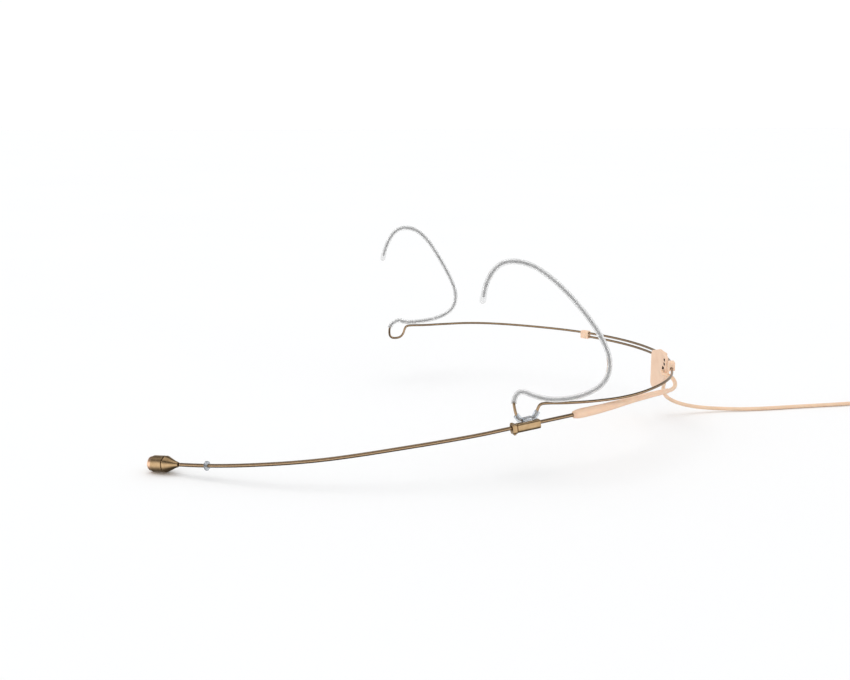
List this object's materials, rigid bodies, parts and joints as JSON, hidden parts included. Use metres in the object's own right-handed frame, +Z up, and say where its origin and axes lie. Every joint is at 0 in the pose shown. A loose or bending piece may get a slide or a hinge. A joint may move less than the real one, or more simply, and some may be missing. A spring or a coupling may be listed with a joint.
{
  "type": "headset microphone",
  "caption": "Dual-ear headset microphone: telescoping wire neckband, soft-tubed ear hooks, sliding and turning boom with a small capsule, neck plate, cable and screw plug.",
  "frame": {"origin": "midway between the two points where the ear hooks rest on the ears", "axes": "-X the way the wearer faces, +Y towards the right ear, +Z up"},
  "size_m": [0.3016, 0.1488, 0.0677],
  "materials": {
    "bronze_metal": "satin brown",
    "clear_silicone": "clear soft silicone",
    "beige_plastic": "satin skin-tone moulding",
    "beige_cable_jacket": "matt skin-tone jacket",
    "dark_rubber": "matt",
    "plug_metal": "nickel plated",
    "gold_plate": "gold plated",
    "grille_metal": "fine perforated",
    "white_plastic": "smooth",
    "circuit_board": "solder mask"
  },
  "bodies": {
    "neckband": {"right_wire_frame": "bronze_metal", "right_ear_tube": "clear_silicone", "left_size_slider": "beige_plastic", "neck_plate": "beige_plastic", "free_cable": "beige_cable_jacket", "cable_coil": "beige_cable_jacket", "cable_tie": "dark_rubber", "cable_tail": "beige_cable_jacket", "plug_boot": "dark_rubber", "plug_shell": "plug_metal", "plug_insulator": "white_plastic", "plug_pin": "gold_plate"},
    "left_frame": {"left_wire_frame": "bronze_metal", "left_ear_tube": "clear_silicone", "right_size_slider": "beige_plastic", "boom_holder": "bronze_metal", "holder_collar": "bronze_metal", "friction_bush": "white_plastic", "loop_clip_front": "clear_silicone", "loop_clip_rear": "clear_silicone", "loop_saddle": "clear_silicone", "boom_lead": "beige_cable_jacket"},
    "boom_tail": {"tail_ferrule": "bronze_metal", "strain_sleeve": "beige_cable_jacket"},
    "boom": {"boom_tube": "bronze_metal", "drip_ring": "clear_silicone", "capsule_body": "bronze_metal", "cartridge_can": "gold_plate", "diaphragm_ring": "gold_plate", "diaphragm": "white_plastic", "backplate": "gold_plate", "backplate_carrier": "white_plastic", "preamp_board": "circuit_board"},
    "capsule_cap": {"capsule_cap": "bronze_metal", "front_grille": "grille_metal"},
    "coupling_nut": {"plug_nut": "plug_metal"}
  },
  "joints": [
    {"name": "neckband_size", "type": "hinge", "parent": "neckband", "child": "left_frame", "pos_m": [-0.0146, 0, -0.04125], "axis": [0, -0.0297, -0.9996], "range_deg": [-4, 12], "deforming": ["boom_lead"]},
    {"name": "boom_slide", "type": "slide", "parent": "left_frame", "child": "boom_tail", "axis": [-0.992, 0.0102, -0.1255], "range_m": [-0.005, 0.008], "deforming": ["strain_sleeve"]},
    {"name": "boom_roll", "type": "hinge", "parent": "boom_tail", "child": "boom", "pos_m": [0.0175, -0.07305, -0.04565], "axis": [-0.992, 0.0102, -0.1255], "range_deg": [-30, 30]},
    {"name": "cap_pull", "type": "slide", "parent": "boom", "child": "capsule_cap", "axis": [-0.7612, 0.6441, -0.0761], "range_m": [0, 0.006]},
    {"name": "nut_spin", "type": "hinge", "parent": "neckband", "child": "coupling_nut", "pos_m": [0.1851, -0.068, -0.0625], "axis": [0, -1, 0], "continuous": true}
  ]
}
